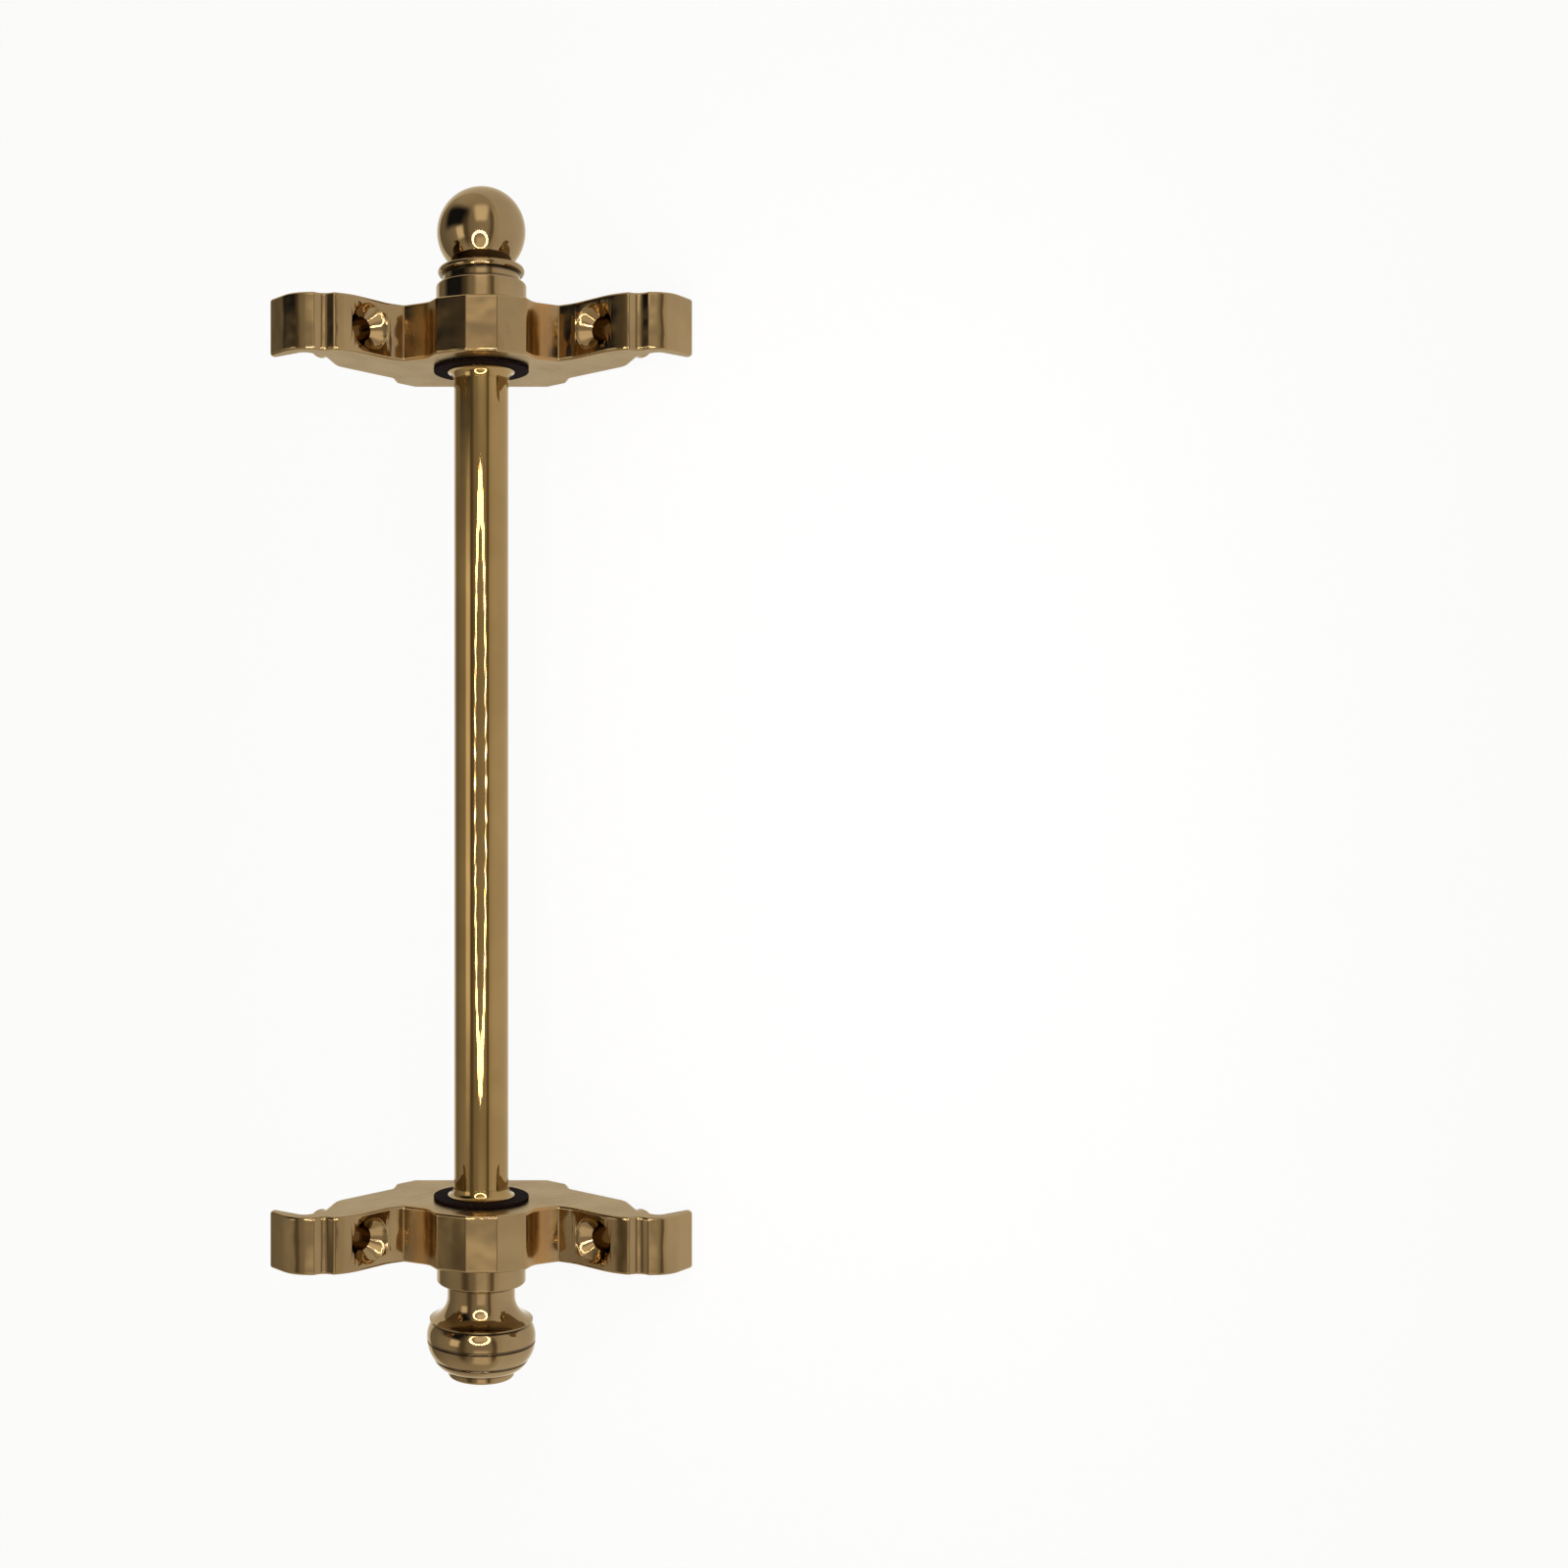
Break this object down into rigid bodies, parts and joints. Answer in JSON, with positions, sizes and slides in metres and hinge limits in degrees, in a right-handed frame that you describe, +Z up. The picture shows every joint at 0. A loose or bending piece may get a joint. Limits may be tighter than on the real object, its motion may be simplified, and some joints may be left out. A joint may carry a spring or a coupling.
{
  "type": "stair carpet rod",
  "caption": "Polished brass stair rod in screw-on corner brackets, with a ball finial and a ridged finial, to hold a stair carpet into the corner of tread and riser.",
  "frame": {"origin": "midway between the tread screw holes, on the tread", "axes": "+X along the rod toward the ball finial, +Y toward the riser, +Z up from the tread"},
  "size_m": [0.2773, 0.0689, 0.0689],
  "materials": {
    "rod_brass": "polished and lacquered",
    "bracket_brass": "polished and lacquered",
    "finial_brass": "polished and lacquered",
    "plain_brass": "as turned",
    "washer_rubber": "matt"
  },
  "bodies": {
    "rod": {"rod_tube": "rod_brass", "ball_end_insert": "plain_brass", "beehive_end_insert": "plain_brass", "ball_end_collar": "rod_brass", "beehive_end_collar": "rod_brass", "ball_end_washer": "washer_rubber", "beehive_end_washer": "washer_rubber"},
    "ball_bracket": {"ball_end_bracket": "bracket_brass"},
    "beehive_bracket": {"beehive_end_bracket": "bracket_brass"},
    "ball_stud": {"ball_finial_stud": "plain_brass"},
    "ball_top": {"ball_finial": "finial_brass"},
    "beehive_stud": {"beehive_finial_stud": "plain_brass"},
    "beehive_top": {"beehive_finial": "finial_brass"}
  },
  "joints": [
    {"name": "ball_bracket_swivel", "type": "hinge", "parent": "rod", "child": "ball_bracket", "pos_m": [0.1035, 0.027, 0.026], "axis": [1, 0, 0], "continuous": true},
    {"name": "beehive_bracket_swivel", "type": "hinge", "parent": "rod", "child": "beehive_bracket", "pos_m": [-0.1035, 0.027, 0.026], "axis": [1, 0, 0], "continuous": true},
    {"name": "ball_finial_travel", "type": "slide", "parent": "rod", "child": "ball_stud", "axis": [1, 0, 0], "range_m": [0, 0.01125]},
    {"name": "ball_finial_turn", "type": "hinge", "parent": "ball_stud", "child": "ball_top", "pos_m": [0.11, 0.027, 0.026], "axis": [1, 0, 0], "range_deg": [0, 3400]},
    {"name": "beehive_finial_travel", "type": "slide", "parent": "rod", "child": "beehive_stud", "axis": [-1, 0, 0], "range_m": [0, 0.01125]},
    {"name": "beehive_finial_turn", "type": "hinge", "parent": "beehive_stud", "child": "beehive_top", "pos_m": [-0.11, 0.027, 0.026], "axis": [-1, 0, 0], "range_deg": [0, 3400]}
  ],
  "couplings": [
    {"joint": "ball_finial_turn", "follows": "ball_finial_travel", "rad_per_m": 5026.5},
    {"joint": "beehive_finial_turn", "follows": "beehive_finial_travel", "rad_per_m": 5026.5}
  ]
}
